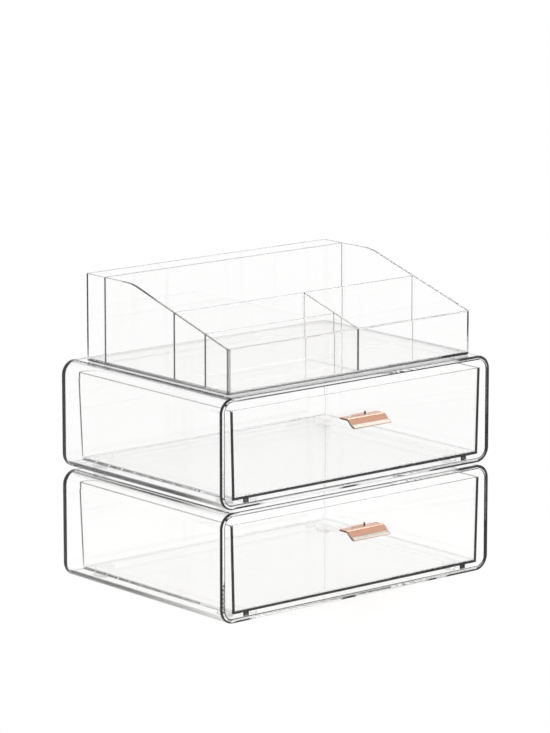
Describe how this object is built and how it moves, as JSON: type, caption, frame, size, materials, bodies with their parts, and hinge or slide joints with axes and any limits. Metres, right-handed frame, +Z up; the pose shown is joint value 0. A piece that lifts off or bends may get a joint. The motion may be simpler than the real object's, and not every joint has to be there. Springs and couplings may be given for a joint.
{
  "type": "makeup organizer",
  "caption": "Clear acrylic organizer: stacked drawer units with bent metal lip handles, under an open divided tray with sloping sides and a slot for palettes.",
  "frame": {"origin": "middle of the whole object's footprint in plan, on the surface that the lowest feet stand on", "axes": "+Z up; the drawers open towards -Y; +X is to the right of someone facing the drawers"},
  "size_m": [0.28, 0.2182, 0.2523],
  "materials": {
    "clear_acrylic": "clear, polished",
    "clear_rubber": "clear, soft",
    "rose_gold": "rose-gold plated, polished"
  },
  "bodies": {
    "lower_unit": {"lower_sleeve": "clear_acrylic", "lower_feet": "clear_rubber", "lower_drawer_stops": "clear_acrylic"},
    "lower_drawer": {"lower_drawer_tub": "clear_acrylic", "lower_drawer_runners": "clear_acrylic", "lower_drawer_catches": "clear_acrylic", "lower_handle": "rose_gold"},
    "upper_unit": {"upper_sleeve": "clear_acrylic", "upper_feet": "clear_rubber", "upper_drawer_stops": "clear_acrylic"},
    "upper_drawer": {"upper_drawer_tub": "clear_acrylic", "upper_drawer_runners": "clear_acrylic", "upper_drawer_catches": "clear_acrylic", "upper_handle": "rose_gold"},
    "tray": {"tray_shell": "clear_acrylic", "tray_palette_divider": "clear_acrylic", "tray_cross_divider": "clear_acrylic", "tray_front_divider": "clear_acrylic", "tray_centre_divider": "clear_acrylic", "tray_locators": "clear_acrylic"}
  },
  "joints": [
    {"name": "lower_drawer_slide", "type": "slide", "parent": "lower_unit", "child": "lower_drawer", "axis": [0, -1, 0], "range_m": [0, 0.172]},
    {"name": "upper_unit_lift", "type": "slide", "parent": "lower_unit", "child": "upper_unit", "axis": [0, 0, 1], "range_m": [0, 0.1]},
    {"name": "upper_drawer_slide", "type": "slide", "parent": "upper_unit", "child": "upper_drawer", "axis": [0, -1, 0], "range_m": [0, 0.172]},
    {"name": "tray_lift", "type": "slide", "parent": "upper_unit", "child": "tray", "axis": [0, 0, 1], "range_m": [0, 0.1]}
  ]
}
